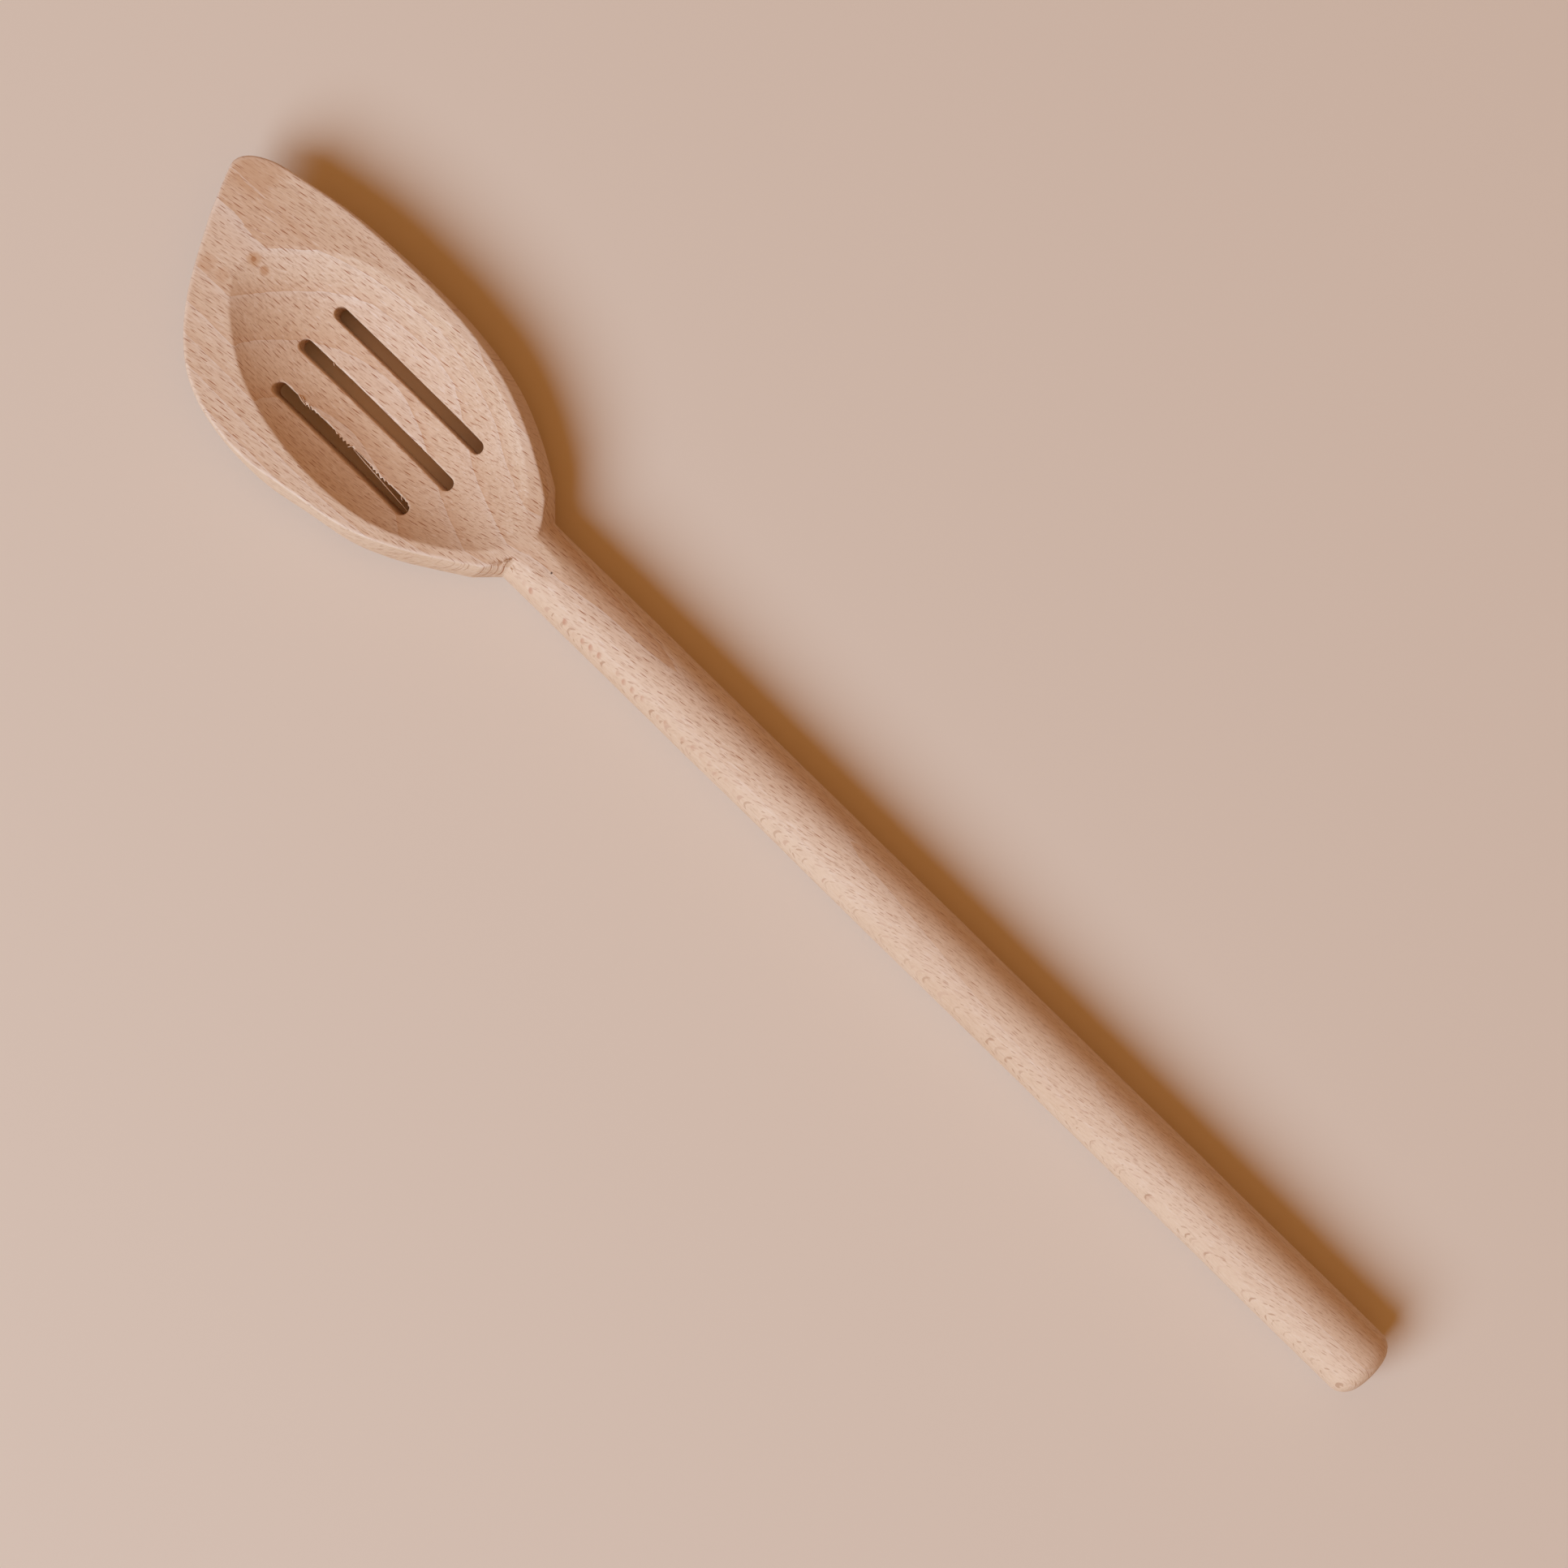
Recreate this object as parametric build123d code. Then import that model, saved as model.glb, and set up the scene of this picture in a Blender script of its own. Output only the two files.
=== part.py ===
from build123d import *
import math
import os

# A slotted cooking spoon with a cornered tip, cut from one piece of beech.
# The model lies face up, as the spoon lies on a table. +X runs from the handle to the tip,
# +Y to the full side of the bowl, and +Z up. It is drawn about the neck, where the handle's
# axis meets the bowl, and then moved so that the origin is under the middle of the spoon.
# Lengths are in millimetres and angles in degrees.

# Sizes of the whole spoon
spoon_length = 350.0
bowl_length = 100.9
handle_diameter = 15.8

# Sizes of the bowl
full_side_width = 29.0
straight_side_width = 26.05
neck_width = 19.6
rim_above_axis = 7.3
wall_radius = 28.0

# Sizes of the hollow, which a wide round cutter mills into the flat rim. It starts beside the
# handle's line and leans from it towards the straight side.
hollow_length = 81.7
hollow_width = 43.4
hollow_depth = 9.2
hollow_start = 3.2
hollow_offset = 0.6
hollow_lean = 1.6

# Sizes of the three slots, from the straight side to the full side. They are milled in one
# setting, with the spoon lying a little off level.
slot_width = 3.0
slot_pitch = 10.1
slot_lengths = (43.3, 44.8, 39.0)
slot_middle = 43.2
middle_slot_offset = 2.1
slot_lean = 4.5

# Sizes of the worked edges
shoulder_angle = 45
handle_end_radius = 3.75
runout_radius = 90.0
rim_arris = 0.5

# Values that follow from the sizes
handle_length = spoon_length - bowl_length
handle_radius = handle_diameter / 2
axis_height = handle_radius
rim_height = axis_height + rim_above_axis
overrun = handle_diameter

# The outline of the bowl at its widest level, from the neck round the tip and back. Each row is
# a share of the bowl's length and a share of the width of the side that it is on.
straight_side_shares = [
    (0.12, 0.638),
    (0.26, 0.866),
    (0.45, 0.991),
    (0.62, 0.998),
    (0.80, 0.939),
    (0.88, 0.873),
]
tip_shares = [
    (0.935, 0.818),
    (0.965, 0.76),
    (0.988, 0.687),
    (1.0, 0.591),
    (0.995, 0.485),
    (0.982, 0.36),
    (0.962, 0.17),
]
full_side_shares = [
    (0.94, 0.01),
    (0.86, 0.515),
    (0.81, 0.725),
    (0.75, 0.873),
    (0.64, 0.988),
    (0.54, 1.0),
    (0.43, 0.94),
    (0.31, 0.868),
    (0.155, 0.637),
]

# The depth of the hollow along its length, as shares of that length and of the full depth
hollow_depth_shares = [
    (0, 0),
    (0.11, 0.35),
    (0.2, 0.62),
    (0.32, 0.88),
    (0.48, 1),
    (0.64, 0.92),
    (0.8, 0.64),
    (0.9, 0.33),
    (1, 0),
]

# The levels of the bowl below the handle's axis, as angles round its rounded back. The first is
# the flat that the spoon rests on. Towards the bottom the tip draws back by a share of the length.
back_angles = (25, 38, 52, 66, 78, 90)
tip_recede_share = 0.42
tip_recede_power = 2.2
tip_centre_share = 0.57
tip_centre_power = 3


def centre_line(x_share):
    """The middle of the bowl, which bends towards the corner at the tip."""
    return -straight_side_width * tip_centre_share * x_share**tip_centre_power


def waterline(height, back_share):
    """One level of the bowl: the outline drawn in towards the bowl's own middle."""
    above_axis = max(0, height - axis_height)
    length_share = 1 - tip_recede_share * (1 - height / rim_height) ** tip_recede_power
    points = []
    for x_share, y_share in straight_side_shares + tip_shares:
        points.append((x_share, -straight_side_width * y_share))
    for x_share, y_share in full_side_shares:
        points.append((x_share, full_side_width * y_share))
    outline = []
    for x_share, y in [(0, -neck_width / 2)] + points + [(0, neck_width / 2)]:
        turned_radius = max(abs(y), wall_radius * x_share)
        wall_share = math.sqrt(1 - (above_axis / turned_radius) ** 2)
        middle = centre_line(x_share)
        drawn_in = middle + (y - middle) * back_share * wall_share
        outline.append((bowl_length * x_share * length_share, drawn_in))
    curve = Spline(*outline)
    closing = Line(outline[-1], outline[0])
    return Pos(0, 0, height) * make_face(Wire([curve, closing]))


def hull():
    """The outside of the bowl, lofted through its levels from the flat up to the rim."""
    rise = math.cos(math.radians(back_angles[0]))
    levels = []
    for angle in back_angles:
        height = axis_height * (1 - math.cos(math.radians(angle)) / rise)
        levels.append(waterline(height, math.sin(math.radians(angle))))
    levels.append(waterline(axis_height + rim_above_axis / 2, 1))
    levels.append(waterline(rim_height, 1))
    return loft(levels)


def shoulder_cut():
    """What the lathe takes off to leave the cone that the neck end of the bowl runs in to."""
    reach = full_side_width
    rise = reach * math.tan(math.radians(shoulder_angle))
    profile = Polyline(
        (0, handle_radius),
        (reach, handle_radius + rise),
        (-overrun, handle_radius + rise),
        (-overrun, handle_radius),
        close=True,
    )
    return Pos(0, 0, axis_height) * revolve(Plane.XZ * make_face(profile), Axis.X, 360)


def handle():
    """The turned handle. Its far end is rounded over and its near end laps into the bowl."""
    lap = handle_radius / 4
    rod = Rot(0, 90, 0) * Cylinder(handle_radius, handle_length + lap)
    rod = Pos((lap - handle_length) / 2, 0, axis_height) * rod
    far_end = rod.edges().sort_by(Axis.X)[0]
    return fillet(far_end, handle_end_radius)


def planed_top():
    """What the planer takes off: all above the rim, and a run-out on the crest of the handle."""
    bowl_width = full_side_width + straight_side_width
    above_rim = Pos(bowl_length / 2, 0, rim_height + overrun / 2)
    slab = above_rim * Box(bowl_length, 2 * bowl_width, overrun)
    wheel = Rot(90, 0, 0) * Cylinder(runout_radius, bowl_width)
    return slab + Pos(0, 0, rim_height + runout_radius) * wheel


def hollow():
    """The cutter's path, turned about a line above the rim, so that it is round in section."""
    half_width = hollow_width / 2
    line_above_rim = (half_width**2 - hollow_depth**2) / (2 * hollow_depth)
    floor = []
    for x_share, depth_share in hollow_depth_shares:
        floor.append((hollow_length * x_share, -line_above_rim - hollow_depth * depth_share))
    curve = Spline(*floor)
    sides = Polyline(floor[-1], (hollow_length, 0), (0, 0), floor[0])
    profile = Plane.XZ * make_face([curve, sides])
    start = Pos(hollow_start, hollow_offset, rim_height + line_above_rim)
    return start * Rot(0, 0, -hollow_lean) * revolve(profile, Axis.X, 360)


def slots():
    """Three through slots with full round ends, side by side and in line with the handle."""
    cuts = []
    for place, length in enumerate(slot_lengths):
        y = middle_slot_offset + slot_pitch * (place - 1)
        outline = SlotOverall(length, slot_width)
        cut = extrude(outline, rim_height, both=True)
        cuts.append(Pos(slot_middle, y, axis_height) * Rot(-slot_lean, 0, 0) * cut)
    return cuts


# The blank is shaped and turned, its rim and its arris are worked, and then it is cut
spoon = hull() - shoulder_cut() + handle() - planed_top()
rim = spoon.faces().filter_by(Axis.Z).sort_by(Axis.Z)[-1]
spoon = fillet(rim.edges().sort_by(SortBy.LENGTH)[-1], rim_arris)
spoon = spoon - hollow() - slots()

extent = spoon.bounding_box()
middle = extent.center()
spoon = Pos(-middle.X, -middle.Y, -extent.min.Z) * spoon

os.makedirs("parts", exist_ok=True)
export_step(spoon, "parts/spoon.step")
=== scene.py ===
import math

import bmesh
import bpy
import numpy as np
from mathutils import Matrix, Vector


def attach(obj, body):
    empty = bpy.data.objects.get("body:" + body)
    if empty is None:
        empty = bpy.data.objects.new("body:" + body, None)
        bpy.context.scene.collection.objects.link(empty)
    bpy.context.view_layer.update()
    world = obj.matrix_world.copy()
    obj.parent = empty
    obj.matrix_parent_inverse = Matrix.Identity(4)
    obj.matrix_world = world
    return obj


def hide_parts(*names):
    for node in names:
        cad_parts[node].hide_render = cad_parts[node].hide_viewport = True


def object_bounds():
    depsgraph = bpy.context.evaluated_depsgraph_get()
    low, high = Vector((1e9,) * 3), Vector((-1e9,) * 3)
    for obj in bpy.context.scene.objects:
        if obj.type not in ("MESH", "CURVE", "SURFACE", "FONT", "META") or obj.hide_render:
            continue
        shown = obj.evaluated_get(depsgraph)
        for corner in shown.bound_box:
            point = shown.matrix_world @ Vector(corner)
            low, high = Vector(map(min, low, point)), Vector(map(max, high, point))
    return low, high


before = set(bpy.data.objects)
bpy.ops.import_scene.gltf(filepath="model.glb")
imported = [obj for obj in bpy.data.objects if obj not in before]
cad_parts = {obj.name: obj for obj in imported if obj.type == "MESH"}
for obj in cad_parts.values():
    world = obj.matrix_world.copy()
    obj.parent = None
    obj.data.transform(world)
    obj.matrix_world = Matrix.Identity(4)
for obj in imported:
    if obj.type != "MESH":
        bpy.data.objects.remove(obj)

cad_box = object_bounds()

# ---- The spoon ----
# One strip of beech, sawn to its outline, turned at the handle and milled at the bowl. It was
# sanded by hand, so every arris is softened and the broad faces are a little uneven. The piece
# takes the solid's own surface and sands it.
MM = 0.001
SKIN_STEP = 0.34 * MM
SANDING_PASSES = 1
NECK = Vector((74.08, -1.525, 7.9))  # millimetres

wood_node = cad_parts["spoon"]
spoon = bpy.data.objects.new("beech_spoon", wood_node.data.copy())
bpy.context.collection.objects.link(spoon)


def keep_modifiers(piece):
    """Turns what the piece's modifiers make into its own mesh."""
    bpy.context.view_layer.update()
    seen = piece.evaluated_get(bpy.context.evaluated_depsgraph_get())
    solid = bpy.data.meshes.new_from_object(seen)
    piece.modifiers.clear()
    piece.data = solid


weld = spoon.modifiers.new("weld", "WELD")
weld.merge_threshold = 0.001 * MM
skin = spoon.modifiers.new("skin", "REMESH")
skin.mode = "VOXEL"
skin.voxel_size = SKIN_STEP
crisp = spoon.modifiers.new("crisp", "SHRINKWRAP")
crisp.target = wood_node
sanding = spoon.modifiers.new("sanding", "SMOOTH")
sanding.factor = 0.5
sanding.iterations = SANDING_PASSES
keep_modifiers(spoon)
spoon.data.polygons.foreach_set("use_smooth", [True] * len(spoon.data.polygons))

# The vertices and their normals, as rows of x, y and z
vertices = spoon.data.vertices
points = np.empty(len(vertices) * 3)
outwards = np.empty(len(vertices) * 3)
vertices.foreach_get("co", points)
spoon.data.vertex_normals.foreach_get("vector", outwards)
points = points.reshape(-1, 3)
outwards = outwards.reshape(-1, 3)

# How sharply the surface bends out at each vertex, averaged over its neighbourhood. It is kept
# with the mesh, for the wood to be worn there and for a highlight painted along the arrises.
BEND_PASSES = 8
links = np.empty(len(spoon.data.edges) * 2, dtype=int)
spoon.data.edges.foreach_get("vertices", links)
one_end, other_end = links.reshape(-1, 2).T
neighbours = np.bincount(links, minlength=len(points))


def of_neighbours(values):
    """The average of a value over each vertex's neighbours."""
    total = np.bincount(one_end, values[other_end], len(values))
    total += np.bincount(other_end, values[one_end], len(values))
    return total / neighbours


bend = sum((points[:, i] - of_neighbours(points[:, i])) * outwards[:, i] for i in range(3))
for evening in range(BEND_PASSES):
    bend = of_neighbours(bend)
arrises = spoon.data.attributes.new("arris", "FLOAT", "POINT")
arrises.data.foreach_set("value", bend / SKIN_STEP)

# Sanding by hand leaves long low waves, a few hundredths of a millimetre high
UNEVENNESS = 0.035 * MM
WAVES = 12
SHORTEST_WAVE, LONGEST_WAVE = 9.0, 40.0  # millimetres
chance = np.random.default_rng(7)
waves = np.zeros(len(points))
for wave in range(WAVES):
    heading = chance.normal(size=3) * (1.0, 2.0, 2.0)
    wavelength = chance.uniform(SHORTEST_WAVE, LONGEST_WAVE) * MM
    turns = points @ (heading / np.linalg.norm(heading)) / wavelength + chance.random()
    waves += np.sin(2 * math.pi * turns) / 3
points += outwards * (waves * UNEVENNESS)[:, None]

# The cutter left the inner edge of the full side's slot ragged. Small teeth of uneven pitch and
# size stand out over the slot, with shallow notches between them.
EDGE_Y = 9.2 * MM
EDGE_FROM, EDGE_TO = 98.5 * MM, 135.5 * MM
TOOTH_PITCH = 1.05 * MM
TOOTH_REACH = 0.85 * MM
TOOTH_SPREAD = 0.4 * MM
TOOTH_DEPTH = 0.7 * MM
PITCH_SWING, PITCH_WAVE = 0.35, 2.6 * MM
SIZE_MIDDLE, SIZE_SWING, SIZE_WAVE = 0.55, 0.45, 1.7 * MM
NOTCH_SHARE = 0.3
by_edge = np.abs(points[:, 1] - EDGE_Y) < 3 * TOOTH_SPREAD
by_edge &= (points[:, 0] > EDGE_FROM) & (points[:, 0] < EDGE_TO)
by_edge = np.flatnonzero(by_edge)
edge = points[by_edge]
stations = np.round(edge[:, 0] / SKIN_STEP).astype(int)
stations -= stations.min()
top = np.full(stations.max() + 1, -1.0)
np.maximum.at(top, stations, edge[:, 2])
near_top = np.clip(1 - (top[stations] - edge[:, 2]) / TOOTH_DEPTH, 0, 1)
near_line = np.exp(-((edge[:, 1] - EDGE_Y) / TOOTH_SPREAD) ** 2)
stretched = edge[:, 0] / TOOTH_PITCH + PITCH_SWING * np.sin(edge[:, 0] / PITCH_WAVE)
tooth = 1 - stretched % 1
tooth_size = SIZE_MIDDLE + SIZE_SWING * np.sin(edge[:, 0] / SIZE_WAVE + 1.0)
points[by_edge, 1] += TOOTH_REACH * (tooth * tooth_size - NOTCH_SHARE) * near_top * near_line

# Small pits that were torn out along the arris of the shoulder
TEAR_DEPTH_SHARE = 0.4
TEARS = [  # middle from the neck, and reach, in millimetres
    ((2.6, 7.1, 15.0), 0.6), ((1.8, 6.1, 15.1), 0.8), ((1.2, 4.9, 15.2), 0.7),
    ((0.8, 4.0, 15.2), 0.55), ((-0.7, 5.3, 13.6), 0.45),
]
for middle, reach in TEARS:
    middle = (Vector(middle) + Vector((NECK.x, NECK.y, 0.0))) * MM
    away = np.linalg.norm(points - middle, axis=1) / (reach * MM)
    points -= outwards * (TEAR_DEPTH_SHARE * reach * MM * np.exp(-away ** 2))[:, None]

# Nothing stands out past the solid's box
vertices.foreach_set("co", np.clip(points, *cad_box).ravel())
spoon.data.update()

# The wood is steamed beech, planed, turned and sanded, with no finish. It gives a pale pinkish
# tan with no gloss. What marks it out is its rays, thin plates that run from the heart outwards.
# On the flat faces they are cut across and show as short dark dashes, all along the grain. Where
# the handle turns down towards its full side they lie in the surface and show as broad spots.
RIM_HEIGHT = 15.2
FIBRE_TURN = math.radians(8.4)
RAY_LEAN_HANDLE = 0.67
RAY_LEAN_BOWL = 0.2
RAY_LEAN_ACROSS = 0.016
LEAN_FROM, LEAN_TO = -20.0, 25.0
RAY_REACH = 30.0
DRIFT_LENGTH = 50.0
DRIFT = 3.0


def linear(hex_colour):
    """An sRGB hex colour as the linear values that a shader takes."""
    parts = [int(hex_colour[i:i + 2], 16) / 255 for i in (1, 3, 5)]
    return [c / 12.92 if c <= 0.04045 else ((c + 0.055) / 1.055) ** 2.4 for c in parts] + [1]


def add(tree, kind, inputs=(), stops=(), **settings):
    """Adds a node with its settings, links and ramp stops. A node given as an input stands for
    its first output."""
    node = tree.nodes.new("ShaderNode" + kind)
    for name, value in settings.items():
        setattr(node, name, value)
    for socket, value in dict(inputs).items():
        if isinstance(value, bpy.types.Node):
            value = value.outputs[0]
        if isinstance(value, bpy.types.NodeSocket):
            tree.links.new(value, node.inputs[socket])
        else:
            node.inputs[socket].default_value = value
    for number, (position, value) in enumerate(stops):
        if number >= len(node.color_ramp.elements):
            node.color_ramp.elements.new(position)
        stop = node.color_ramp.elements[number]
        stop.position = position
        stop.color = linear(value) if isinstance(value, str) else (value, value, value, 1)
    return node


beech = bpy.data.materials.new("beech_bare_sanded")
beech.use_nodes = True
wood = beech.node_tree
wood.nodes.clear()

# Places in millimetres from the neck. Each is carried up along its ray to the height of the
# rim, and then turned into the line of the fibres.
place = add(wood, "Mapping", {
    0: add(wood, "TexCoord").outputs["Object"],
    1: (-NECK.x, -NECK.y, 0.0),
    3: (1 / MM, 1 / MM, 1 / MM),
})
x, y, z = add(wood, "SeparateXYZ", {0: place}).outputs
depth = add(wood, "Math", {0: RIM_HEIGHT, 1: z}, operation="SUBTRACT")
lean = add(wood, "MapRange", {
    0: x, 1: LEAN_FROM, 2: LEAN_TO, 3: RAY_LEAN_HANDLE, 4: RAY_LEAN_BOWL,
}, interpolation_type="SMOOTHSTEP")
lean = add(wood, "Math", {0: y, 1: RAY_LEAN_ACROSS, 2: lean}, operation="MULTIPLY_ADD")
carried = add(wood, "Math", {0: depth, 1: lean}, operation="MULTIPLY")
top_y = add(wood, "Math", {0: y, 1: carried}, operation="SUBTRACT")
drift = add(wood, "TexNoise", {"Vector": place, "Scale": 1 / DRIFT_LENGTH, "Detail": 0.0})
top_y = add(wood, "Math", {0: drift, 1: DRIFT, 2: top_y}, operation="MULTIPLY_ADD")
grain = add(wood, "CombineXYZ", {0: x, 1: top_y, 2: depth})
grain = add(wood, "Mapping", {0: grain, 2: (0.0, 0.0, -FIBRE_TURN)})
along, across, below = add(wood, "SeparateXYZ", {0: grain}).outputs


def rays(pitch_along, pitch_across, half_length, half_width, jitter):
    """Spindle-shaped ends of rays, one in each cell of a staggered lattice, from 0 to 1."""
    row = add(wood, "Math", {0: across, 1: 1 / pitch_across}, operation="MULTIPLY")
    stagger = add(wood, "Math", {0: row, 1: 0.5}, operation="MULTIPLY")
    column = add(wood, "Math", {0: along, 1: 1 / pitch_along, 2: stagger},
                 operation="MULTIPLY_ADD")
    layer = add(wood, "Math", {0: below, 1: 1 / RAY_REACH}, operation="MULTIPLY")
    cells = add(wood, "CombineXYZ", {0: column, 1: row, 2: layer})
    lattice = add(wood, "TexVoronoi", {"Vector": cells, "Scale": 1.0, "Randomness": jitter})
    offset = add(wood, "VectorMath", {0: cells, 1: lattice.outputs["Position"]},
                 operation="SUBTRACT")
    off_along, off_across, _ = add(wood, "SeparateXYZ", {0: offset}).outputs
    own = add(wood, "SeparateColor", {0: lattice.outputs["Color"]})
    smaller = add(wood, "MapRange", {0: own, 3: 1.55, 4: 0.75})
    length = add(wood, "Math", {0: off_across, 1: -0.5, 2: off_along}, operation="MULTIPLY_ADD")
    length = add(wood, "Math", {0: length, 1: smaller}, operation="MULTIPLY")
    length = add(wood, "Math", {0: length, 1: pitch_along / half_length}, operation="MULTIPLY")
    width = add(wood, "Math", {0: off_across, 1: smaller}, operation="MULTIPLY")
    width = add(wood, "Math", {0: width, 1: pitch_across / half_width}, operation="MULTIPLY")
    width = add(wood, "Math", {0: width}, operation="ABSOLUTE")
    taper = add(wood, "Math", {0: length, 1: length, 2: width}, operation="MULTIPLY_ADD")
    strength = add(wood, "MapRange", {0: own.outputs[1], 3: 0.4, 4: 1.0})
    return add(wood, "MapRange", {0: taper, 1: 1.0, 2: 0.45, 3: 0.0, 4: strength},
               interpolation_type="SMOOTHSTEP")


# Sizes in millimetres. A real small ray is about 0.05 mm wide, too fine to show, and is drawn
# three times as coarse.
broad_rays = rays(pitch_along=3.3, pitch_across=1.0, half_length=1.25, half_width=0.11,
                  jitter=0.65)
small_rays = rays(pitch_along=2.2, pitch_across=0.7, half_length=0.8, half_width=0.08,
                  jitter=0.9)

# Where a ray lies in the surface it shows its flat side, which is paler and pinker than its end
out_of_rays = add(wood, "CombineXYZ", {1: 1.0, 2: lean})
out_of_rays = add(wood, "VectorMath", {0: out_of_rays}, operation="NORMALIZE")
normal = add(wood, "TexCoord").outputs["Normal"]
facing = add(wood, "VectorMath", {0: normal, 1: out_of_rays}, operation="DOT_PRODUCT")
facing = add(wood, "Math", {0: facing.outputs["Value"]}, operation="ABSOLUTE")
flat_side = add(wood, "MapRange", {0: facing, 1: 0.7, 2: 0.95}, interpolation_type="SMOOTHSTEP")
ray_tint = add(wood, "Mix", {0: flat_side, 6: linear("#9A5628"), 7: linear("#CBA080")},
               data_type="RGBA").outputs[2]

# A row of rays on that flank lies almost in the surface. Each shows as a small oval, darkest
# along its edge towards the bowl. Some are missing, and the row fades away from the neck.
OVAL_PITCH = 2.5
OVAL_ROW_PITCH = 3.0
OVAL_HALF_LENGTH = 0.75
OVAL_HALF_WIDTH = 1.05
OVALS_FROM_CREST = 6.9
OVALS_START, OVALS_FULL, OVALS_FADE, OVALS_GONE = -3.0, -5.0, -20.0, -85.0
above_axis = add(wood, "Math", {0: z, 1: NECK.z}, operation="SUBTRACT")
turned = add(wood, "Math", {0: y, 1: above_axis}, operation="ARCTAN2")
from_row = add(wood, "Math", {0: turned, 1: NECK.z, 2: -OVALS_FROM_CREST},
               operation="MULTIPLY_ADD")
column = add(wood, "Math", {0: x, 1: 1 / OVAL_PITCH}, operation="MULTIPLY")
row = add(wood, "Math", {0: from_row, 1: 1 / OVAL_ROW_PITCH, 2: 0.3}, operation="MULTIPLY_ADD")
cells = add(wood, "CombineXYZ", {0: column, 1: row})
lattice = add(wood, "TexVoronoi", {"Vector": cells, "Scale": 1.0, "Randomness": 0.4})
offset = add(wood, "VectorMath", {0: cells, 1: lattice.outputs["Position"]},
             operation="SUBTRACT")
off_along, off_round, _ = add(wood, "SeparateXYZ", {0: offset}).outputs
slanted = add(wood, "Math", {0: off_round, 1: 0.3, 2: off_along}, operation="MULTIPLY_ADD")
from_middle = add(wood, "CombineXYZ", {0: slanted, 1: off_round})
from_middle = add(wood, "VectorMath", {
    0: from_middle,
    1: (OVAL_PITCH / OVAL_HALF_LENGTH, OVAL_ROW_PITCH / OVAL_HALF_WIDTH, 0),
}, operation="MULTIPLY")
from_middle = add(wood, "VectorMath", {0: from_middle}, operation="LENGTH").outputs["Value"]
there = add(wood, "SeparateColor", {0: lattice.outputs["Color"]})
there = add(wood, "MapRange", {0: there, 1: 0.2, 2: 0.5})
oval = add(wood, "MapRange", {0: from_middle, 1: 1.1, 2: 0.6, 3: 0.0, 4: there})
dark_edge = add(wood, "MapRange", {0: slanted, 1: -0.15, 2: 0.15, 3: 0.5, 4: 1.0})
fading = add(wood, "MapRange", {0: x, 1: OVALS_GONE, 2: OVALS_FADE, 3: 0.0, 4: 1.0})
on_handle = add(wood, "MapRange", {0: x, 1: OVALS_START, 2: OVALS_FULL})
off_row = add(wood, "Math", {0: from_row}, operation="ABSOLUTE")
in_row = add(wood, "MapRange", {0: off_row, 1: 1.9, 2: 1.5})
for share in (dark_edge, fading, on_handle, in_row):
    oval = add(wood, "Math", {0: oval, 1: share}, operation="MULTIPLY")

# A growth ring ends in a tan band with a thin pale line below. The rings dip towards the full
# side, more so on the handle, rise and fall along the strip, and crown over the straight side.
RING_WIDTH = 4.41
RING_WIDENING_HANDLE = 0.88
RING_TILT_HANDLE = 0.67
RING_TILT_BOWL = 0.35
TILT_FROM, TILT_TO = -5.0, 45.0
RING_CROWN = 0.0163
CROWN_END = -14.0
STRIP_FROM, STRIP_TO = -200.0, 100.0
RING_RISE = 8.0
RING_WAVER = 0.35
RING_START = 23.175
GRAIN_STRETCH = 9
tilt = add(wood, "MapRange", {
    0: x, 1: TILT_FROM, 2: TILT_TO, 3: RING_TILT_HANDLE, 4: RING_TILT_BOWL,
}, interpolation_type="SMOOTHSTEP")
tilted = add(wood, "Math", {0: tilt, 1: y}, operation="MULTIPLY")
ring = add(wood, "Math", {0: z, 1: tilted}, operation="SUBTRACT")
crowned_y = add(wood, "Math", {0: y, 1: CROWN_END}, operation="MAXIMUM")
crown = add(wood, "Math", {0: crowned_y, 1: crowned_y}, operation="MULTIPLY")
ring = add(wood, "Math", {0: crown, 1: -RING_CROWN, 2: ring}, operation="MULTIPLY_ADD")
share_along = add(wood, "MapRange", {0: x, 1: STRIP_FROM, 2: STRIP_TO})
rise = add(wood, "ValToRGB", {0: share_along}, stops=[
    (0.0, 0.91), (0.133, 0.70), (0.25, 0.30), (0.367, 0.10), (0.467, 0.05), (0.55, 0.12),
    (0.617, 0.21), (0.667, 0.46), (0.733, 0.87), (0.817, 0.81), (0.9, 0.775), (1.0, 0.76),
])
rise.color_ramp.interpolation = "CARDINAL"
ring = add(wood, "Math", {0: rise, 1: RING_RISE, 2: ring}, operation="MULTIPLY_ADD")
long_grain = add(wood, "VectorMath", {0: grain, 1: (1 / GRAIN_STRETCH, 1.0, 1.0)},
                 operation="MULTIPLY")
waver = add(wood, "TexNoise", {"Vector": long_grain, "Scale": 0.5, "Detail": 3.0})
ring = add(wood, "Math", {0: waver, 1: RING_WAVER, 2: ring}, operation="MULTIPLY_ADD")
ring = add(wood, "Math", {0: ring, 1: RING_START}, operation="SUBTRACT")
rings_per_mm = add(wood, "MapRange", {
    0: tilt, 1: RING_TILT_BOWL, 2: RING_TILT_HANDLE,
    3: 1 / RING_WIDTH, 4: RING_WIDENING_HANDLE / RING_WIDTH,
})
phase = add(wood, "Math", {0: ring, 1: rings_per_mm}, operation="MULTIPLY")
phase = add(wood, "Math", {0: phase}, operation="FRACT")
ground = add(wood, "ValToRGB", {0: phase}, stops=[
    (0.0, "#D1A67F"), (0.05, "#D7AF8A"), (0.3, "#DCB894"), (0.8, "#DEBB99"),
    (0.93, "#DFBE9E"), (1.0, "#E1C3A6"),
])

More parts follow.
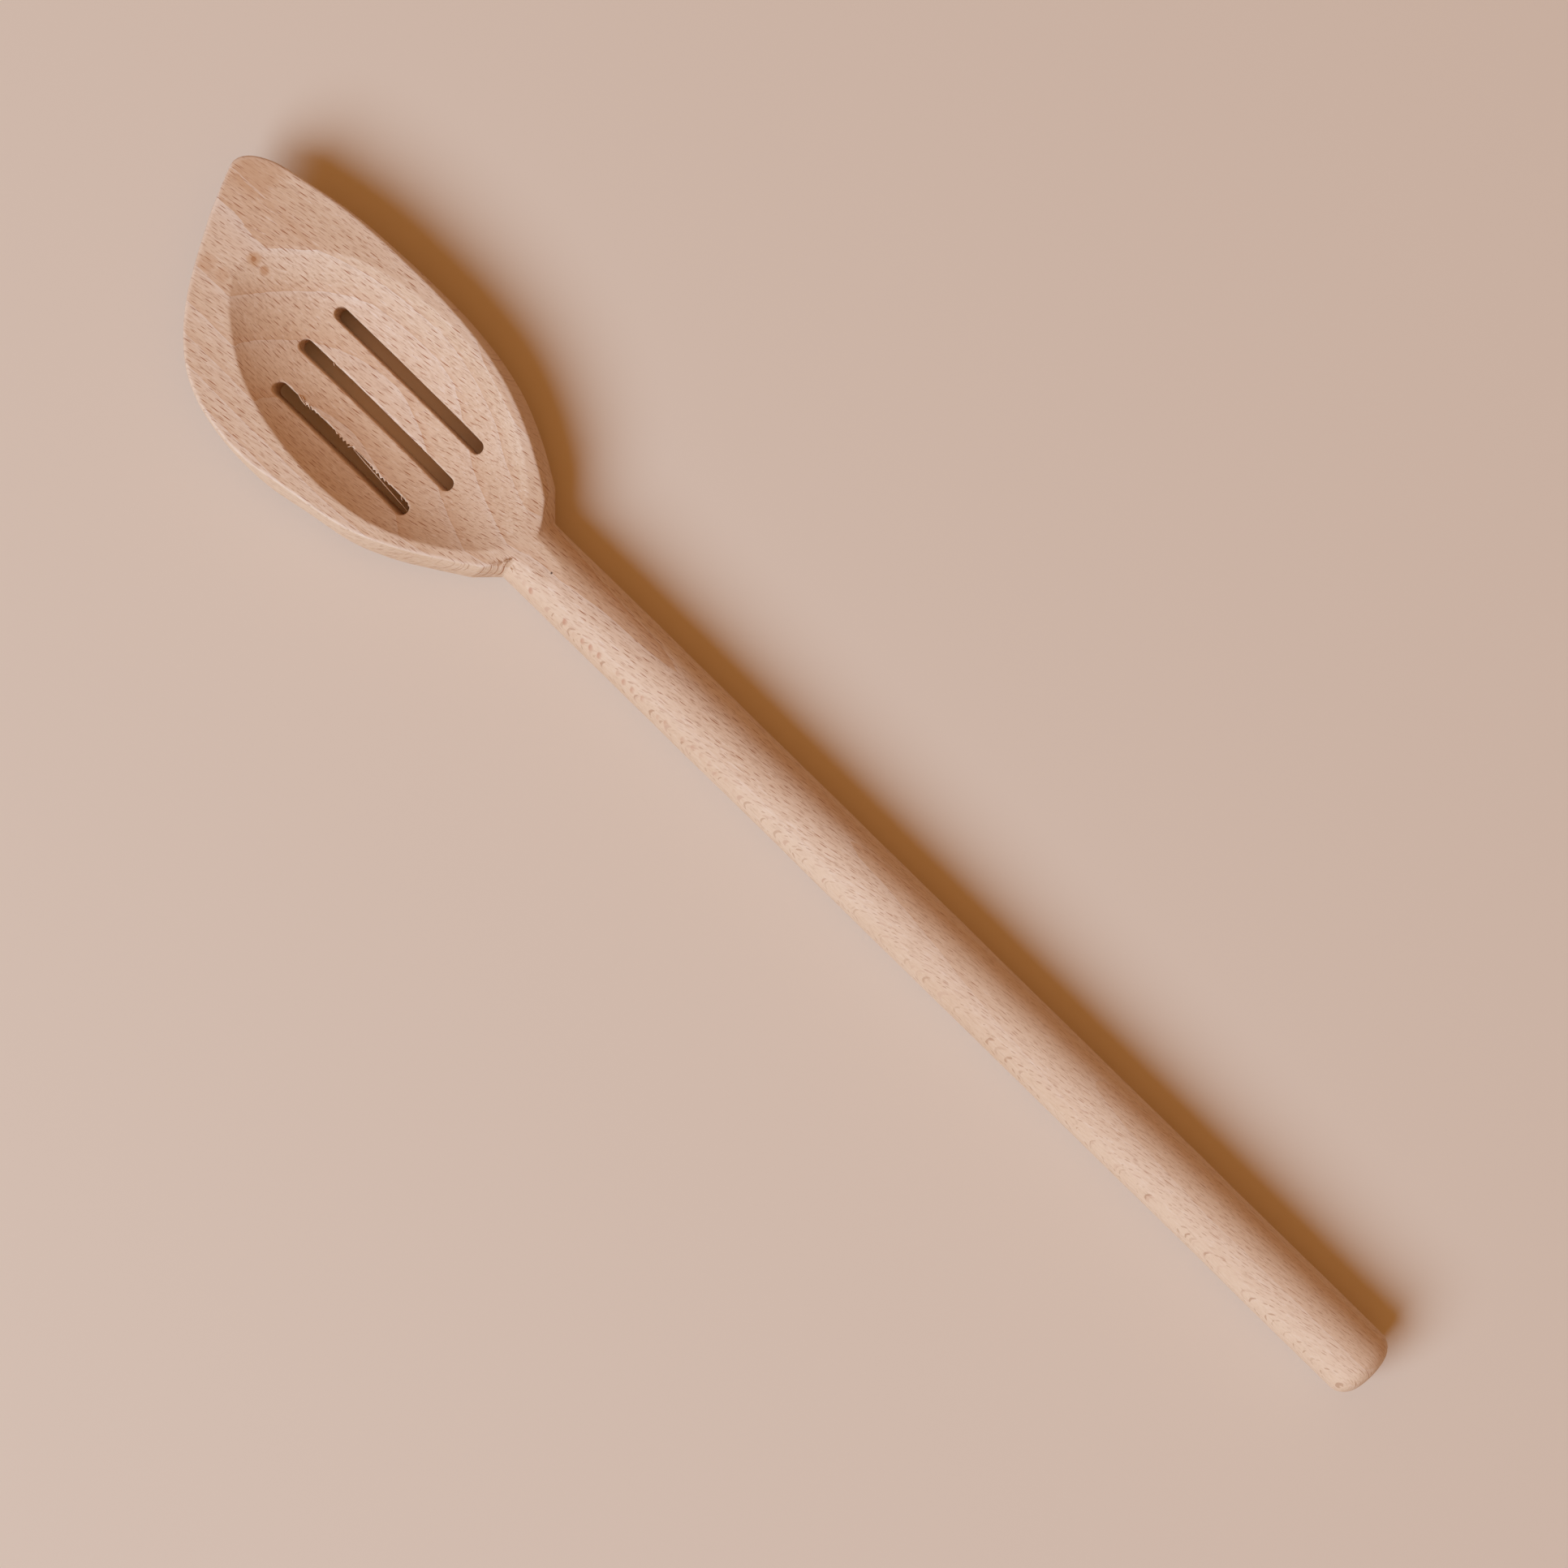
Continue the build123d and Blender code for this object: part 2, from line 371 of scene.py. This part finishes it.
# The rings hardly show where the rays lie flat, and they and the rays fade towards the handle's
# far end
FAR_FROM, FAR_TO, FAR_SHARE = -60.0, -130.0, 0.6
CALM_SHARE = 0.85
far_along = add(wood, "MapRange", {0: x, 1: FAR_FROM, 2: FAR_TO, 4: FAR_SHARE})
calm = add(wood, "Math", {0: flat_side, 1: CALM_SHARE}, operation="MULTIPLY")
calm = add(wood, "Math", {0: calm, 1: far_along}, operation="MAXIMUM")
ground = add(wood, "Mix", {0: calm, 6: ground, 7: linear("#DDBA97")},
             data_type="RGBA").outputs[2]

# Fibres, and a slow change of tone over the whole strip. A real fibre is 0.02 mm wide, too fine
# to show, so they are drawn as streaks about 0.4 mm wide along the grain.
streaks = add(wood, "TexNoise", {
    "Vector": long_grain, "Scale": 2.4, "Detail": 4.0, "Roughness": 0.72,
})
tone = add(wood, "TexNoise", {"Vector": long_grain, "Scale": 0.09, "Detail": 2.0})
dark_streaks = add(wood, "MapRange", {0: calm, 3: 0.75, 4: 0.35})
pale_streaks = add(wood, "MapRange", {0: calm, 3: 0.6, 4: 0.25})
broad_share = add(wood, "MapRange", {0: far_along, 2: FAR_SHARE, 3: 0.9, 4: 0.5})
tints = [
    ({0: tone, 1: 0.42, 2: 0.72, 4: 0.35}, "#C6986E"),
    ({0: streaks, 1: 0.5, 2: 0.78, 4: dark_streaks}, "#A8795A"),
    ({0: streaks, 1: 0.5, 2: 0.22, 4: pale_streaks}, "#EDD4BA"),
    ({0: small_rays, 4: 0.5}, "#9B6038"),
    ({0: broad_rays, 4: broad_share}, ray_tint),
    ({0: oval, 4: 0.85}, "#C28A68"),
]

# Small marks: two pin knots in the hollow's tip end, tan stains at the tip, a dark speck on the
# handle's crest, and brown painted shade in each torn pit. Their edges are ragged along the
# grain.
RAGGED_SHARE = 0.7
MARKS = [  # middle from the neck and reach in millimetres, then strength and colour
    ((83.4, -3.3, 14.8), 2.0, 0.5, "#BE8248"),
    ((83.4, -3.3, 14.8), 0.8, 0.65, "#A5622A"),
    ((80.4, -3.1, 13.7), 1.3, 0.55, "#B4743A"),
    ((89.7, 4.0, 15.2), 2.4, 0.3, "#BE8454"),
    ((85.8, 3.7, 15.2), 2.0, 0.3, "#BE8454"),
    ((95.4, -17.4, 15.2), 6.5, 0.4, "#C08A5C"),
    ((-7.5, 0.1, 15.8), 0.4, 1.0, "#4A2C1A"),
    # painted shade: each torn pit is darkened brown, as its depth would be shaded
    *((middle, reach, 0.6, "#A4672F") for middle, reach in TEARS),
]
ragged = add(wood, "TexNoise", {"Vector": long_grain, "Scale": 1.1, "Detail": 3.0})
ragged = add(wood, "VectorMath", {0: ragged.outputs["Color"], 1: (0.5, 0.5, 0.5)},
             operation="SUBTRACT")
for middle, reach, strength, tint in MARKS:
    spread = (reach * RAGGED_SHARE, reach * RAGGED_SHARE, 0.0)
    loose = add(wood, "VectorMath", {0: ragged, 1: spread, 2: place}, operation="MULTIPLY_ADD")
    away = add(wood, "VectorMath", {0: loose, 1: middle}, operation="DISTANCE").outputs["Value"]
    tints.append(({0: away, 1: reach, 2: reach * 0.5, 4: strength}, tint))

colour = ground
for share, tint in tints:
    share = add(wood, "MapRange", share, interpolation_type="SMOOTHSTEP")
    tint = linear(tint) if isinstance(tint, str) else tint
    colour = add(wood, "Mix", {0: share, 6: colour, 7: tint}, data_type="RGBA").outputs[2]

# Sanding and handling leave the arrises smoother and a little paler than the faces. Their pale
# colour is also a painted highlight, where the edges catch the window: most along the rim near
# the neck, less towards the tip and least in the slots
ARRIS_FROM, ARRIS_TO = 0.03, 0.07
arris = add(wood, "Attribute", attribute_name="arris").outputs["Fac"]
arris_wear_and_highlight = add(wood, "MapRange", {0: arris, 1: ARRIS_FROM, 2: ARRIS_TO},
           interpolation_type="SMOOTHSTEP")
on_rim = add(wood, "MapRange", {0: z, 1: 11.0, 2: 14.0, 3: 0.15, 4: 0.55})
near_neck = add(wood, "MapRange", {0: x, 1: 70.0, 2: 45.0, 3: 0.35, 4: 1.0})
wear_and_painted_highlight = add(wood, "Math", {0: on_rim, 1: near_neck}, operation="MULTIPLY")
wear_and_painted_highlight = add(wood, "Math", {0: arris_wear_and_highlight, 1: wear_and_painted_highlight}, operation="MULTIPLY")
# painted highlight, partly wear: the arrises are mixed towards a pale colour
colour = add(wood, "Mix", {0: wear_and_painted_highlight, 6: colour, 7: linear("#EFD8C0")},
             data_type="RGBA").outputs[2]

# The ends of the rays lie a little below the fibres around them, and their flat sides are level
RELIEF = 0.04 * MM
SMOOTHEST, ROUGHEST = 0.52, 0.72
WORN_SMOOTHER = 0.15
sunk = add(wood, "MapRange", {0: flat_side, 3: -0.8, 4: 0.0})
relief = add(wood, "Math", {0: broad_rays, 1: sunk, 2: streaks}, operation="MULTIPLY_ADD")
bump = add(wood, "Bump", {"Strength": 0.5, "Distance": RELIEF, "Height": relief})
roughness = add(wood, "MapRange", {0: streaks, 1: 0.3, 2: 0.7, 3: SMOOTHEST, 4: ROUGHEST})
roughness = add(wood, "Math", {0: arris_wear_and_highlight, 1: -WORN_SMOOTHER, 2: roughness},
                operation="MULTIPLY_ADD")
shader = add(wood, "BsdfPrincipled", {
    "Base Color": colour,
    "Roughness": roughness,
    "IOR": 1.5,
    "Specular IOR Level": 0.3,
    "Normal": bump,
})
add(wood, "OutputMaterial", {0: shader})
spoon.data.materials.clear()
spoon.data.materials.append(beech)

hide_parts("spoon")
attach(spoon, "root")


# ---- Torn fibres ----
# Slivers of the same beech that the cutters lifted and left hanging, at the full-side slot, at
# the middle slot and where the shoulder was cut. Each is thin and tapers to both ends.
FIBRE_RADIUS = 0.16 * MM
END_SHARE = 0.25
TORN_FIBRES = [  # thickness as a share of the usual, then its points in millimetres
    (1.1, (132.4, 8.9, 9.2), (131.3, 9.25, 9.55), (130.2, 9.5, 9.35), (129.2, 9.65, 8.9)),
    (0.8, (131.3, 8.8, 9.3), (130.5, 9.1, 9.5), (129.7, 9.35, 9.3)),
    (0.8, (129.0, 9.0, 8.9), (128.5, 9.35, 9.2), (128.0, 9.6, 8.9)),
    (1.2, (116.3, 8.9, 8.1), (116.65, 9.35, 8.3), (116.95, 9.75, 8.0)),
    (0.7, (116.0, 9.2, 7.9), (113.0, 9.5, 7.5), (108.5, 9.8, 7.4), (103.5, 10.2, 8.0),
     (98.0, 10.6, 9.4)),
    (0.8, (101.3, 9.1, 10.1), (101.0, 9.5, 10.3), (100.4, 9.75, 10.1)),
    (0.8, (131.9, -1.1, 7.0), (131.6, -0.8, 7.25), (131.1, -0.55, 7.0)),
    (1.0, (75.9, 5.1, 14.6), (75.5, 3.9, 15.15), (74.9, 2.7, 15.3), (74.6, 2.0, 15.1)),
    (0.9, (75.0, 5.8, 14.0), (74.9, 4.6, 14.9), (74.9, 3.2, 15.2)),
    (0.8, (76.9, 5.5, 14.5), (76.2, 4.7, 15.1), (75.4, 4.1, 15.1)),
    (1.0, (73.8, 3.6, 14.7), (73.3, 3.9, 15.2), (72.6, 4.2, 14.5)),
]
fibre_lines = bpy.data.curves.new("torn_fibres", "CURVE")
fibre_lines.dimensions = "3D"
fibre_lines.bevel_depth = FIBRE_RADIUS
fibre_lines.bevel_resolution = 2
for thickness, *line in TORN_FIBRES:
    fibre = fibre_lines.splines.new("NURBS")
    fibre.points.add(len(line) - 1)
    for number, (point, position) in enumerate(zip(fibre.points, line)):
        at_end = number in (0, len(line) - 1)
        point.co = (*(MM * c for c in position), 1.0)
        point.radius = thickness * (END_SHARE if at_end else 1.0)
    fibre.order_u = 3
    fibre.use_endpoint_u = True
torn_fibres = bpy.data.objects.new("torn_fibres", fibre_lines)
bpy.context.collection.objects.link(torn_fibres)
fibre_lines.materials.append(beech)
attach(torn_fibres, "root")


# ---- Studio ----
# A sheet of plain pale matt paper lies under the spoon. A large soft window lights it from its
# full side, and a warm room fills the shadows.
SHEET_REACH = 2.0
SHEET_DROP = 0.05 * MM
paper = bpy.data.materials.new("matt_paper")
paper.use_nodes = True
paper_shader = paper.node_tree.nodes["Principled BSDF"]
paper_shader.inputs["Base Color"].default_value = linear("#DEC8AE")
paper_shader.inputs["Roughness"].default_value = 0.9
paper_shader.inputs["Specular IOR Level"].default_value = 0.2
sheet = bmesh.new()
bmesh.ops.create_grid(sheet, x_segments=1, y_segments=1, size=SHEET_REACH)
floor_mesh = bpy.data.meshes.new("paper_sheet")
sheet.to_mesh(floor_mesh)
sheet.free()
floor = bpy.data.objects.new("paper_sheet", floor_mesh)
floor.location.z = -SHEET_DROP
floor_mesh.materials.append(paper)
bpy.context.collection.objects.link(floor)

WINDOW_FROM = Vector((0.15, 0.94, 0.95))
WINDOW_DISTANCE = 3.3
WINDOW_SIZE = 2.4
WINDOW_WATTS = 146.0
window = bpy.data.lights.new("window", "AREA")
window.shape = "DISK"
window.size = WINDOW_SIZE
window.energy = WINDOW_WATTS
window.color = linear("#BCDBFF")[:3]
window_object = bpy.data.objects.new("window", window)
window_object.location = WINDOW_FROM.normalized() * WINDOW_DISTANCE
window_object.rotation_euler = WINDOW_FROM.to_track_quat("Z", "Y").to_euler()
bpy.context.collection.objects.link(window_object)

# The room is warm and brightest overhead, and the camera sees a pale backdrop in its place
FILL_LEVEL, FILL_OVERHEAD = 0.08, 0.58
room = bpy.data.worlds.new("room")
room.use_nodes = True
bpy.context.scene.world = room
air = room.node_tree
air.nodes.clear()
ray_kind = add(air, "LightPath").outputs
seen = add(air, "Math", {0: ray_kind["Is Camera Ray"], 1: ray_kind["Is Glossy Ray"]},
           operation="MAXIMUM")
seen = add(air, "Math", {0: seen, 1: ray_kind["Is Transmission Ray"]}, operation="MAXIMUM")
upwards = add(air, "SeparateXYZ", {0: add(air, "TexCoord").outputs["Generated"]}).outputs[2]
from_above = add(air, "MapRange", {0: upwards, 1: 0.0, 2: 1.0, 3: FILL_LEVEL, 4: FILL_OVERHEAD})
fill = add(air, "Background", {"Color": linear("#FFBC74"), "Strength": from_above})
backdrop = add(air, "Background", {"Color": linear("#EFE7DE"), "Strength": 1.0})
both = add(air, "MixShader", {0: seen, 1: fill, 2: backdrop})
add(air, "OutputWorld", {0: both})

# The camera looks straight down on the middle of the spoon, turned so that the handle runs
# down to the right
CAMERA_PLACE = Vector((0.78, -3.93, 690.0)) * MM
CAMERA_TURN = math.atan2(-0.6997, -0.7145)
FRAME_WIDTH = 1932  # pixels, as is the focal length
FOCAL_LENGTH = 3961
camera = bpy.data.cameras.new("camera")
camera.angle = 2 * math.atan(FRAME_WIDTH / 2 / FOCAL_LENGTH)
camera_object = bpy.data.objects.new("camera", camera)
camera_object.location = CAMERA_PLACE
camera_object.rotation_euler = (0, 0, CAMERA_TURN)
bpy.context.collection.objects.link(camera_object)
bpy.context.scene.camera = camera_object
bpy.context.scene.view_settings.view_transform = "Standard"
